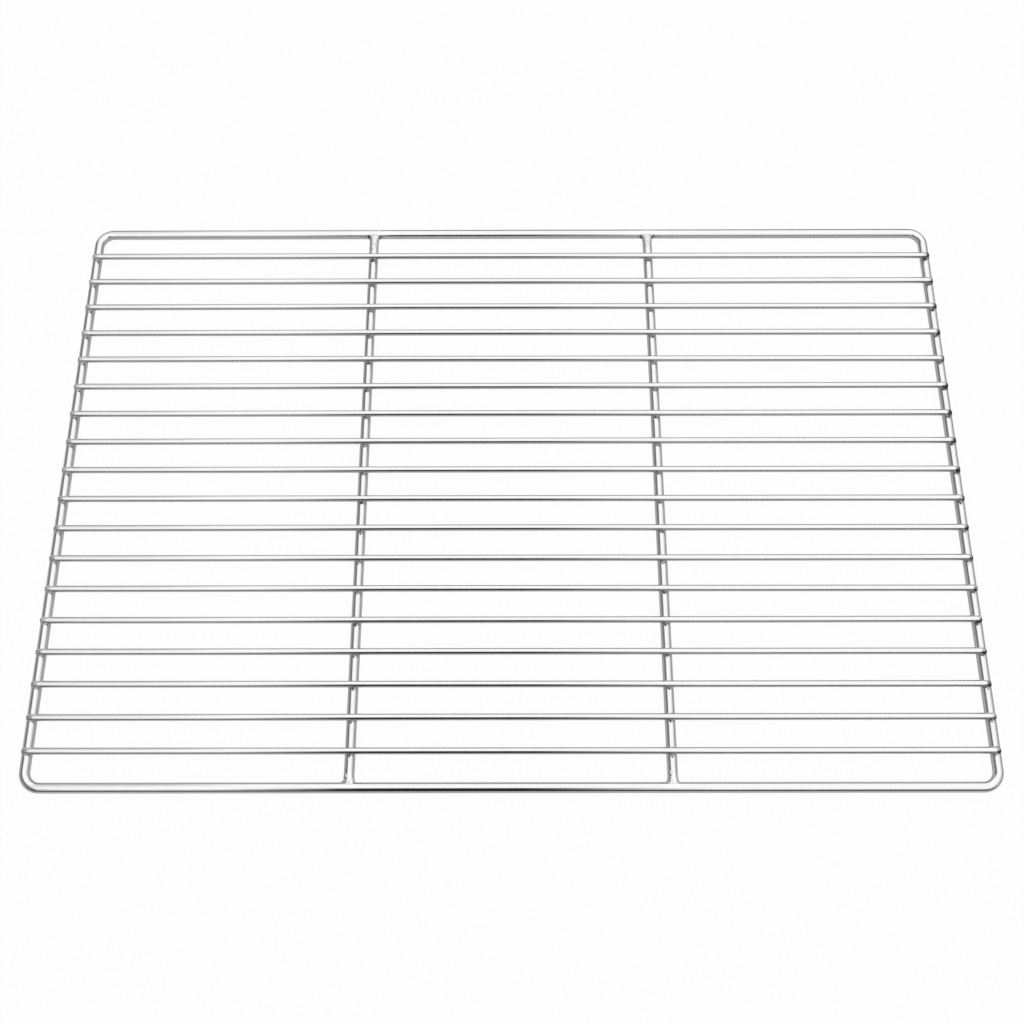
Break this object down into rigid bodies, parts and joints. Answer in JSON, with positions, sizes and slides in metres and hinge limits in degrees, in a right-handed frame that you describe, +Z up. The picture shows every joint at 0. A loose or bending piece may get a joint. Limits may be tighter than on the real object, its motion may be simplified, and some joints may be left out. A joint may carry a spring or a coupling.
{
  "type": "grill grate",
  "caption": "Flat welded wire grill grate: a bent rectangular frame, support bars in its plane and a row of thinner rods across the top that carry food over heat.",
  "frame": {"origin": "middle of the grate, on the surface that its frame lies on", "axes": "+X along the rods, side to side; +Y from front to back; +Z up, out of the side that carries food"},
  "size_m": [0.6, 0.4, 0.0103],
  "materials": {
    "stainless_wire": "polished bright drawn wire"
  },
  "bodies": {
    "root": {"perimeter_frame": "stainless_wire", "support_bar_left": "stainless_wire", "support_bar_right": "stainless_wire", "grill_rod_01": "stainless_wire", "grill_rod_02": "stainless_wire", "grill_rod_03": "stainless_wire", "grill_rod_04": "stainless_wire", "grill_rod_05": "stainless_wire", "grill_rod_06": "stainless_wire", "grill_rod_07": "stainless_wire", "grill_rod_08": "stainless_wire", "grill_rod_09": "stainless_wire", "grill_rod_10": "stainless_wire", "grill_rod_11": "stainless_wire", "grill_rod_12": "stainless_wire", "grill_rod_13": "stainless_wire", "grill_rod_14": "stainless_wire", "grill_rod_15": "stainless_wire", "grill_rod_16": "stainless_wire", "grill_rod_17": "stainless_wire", "grill_rod_18": "stainless_wire"}
  },
  "joints": []
}
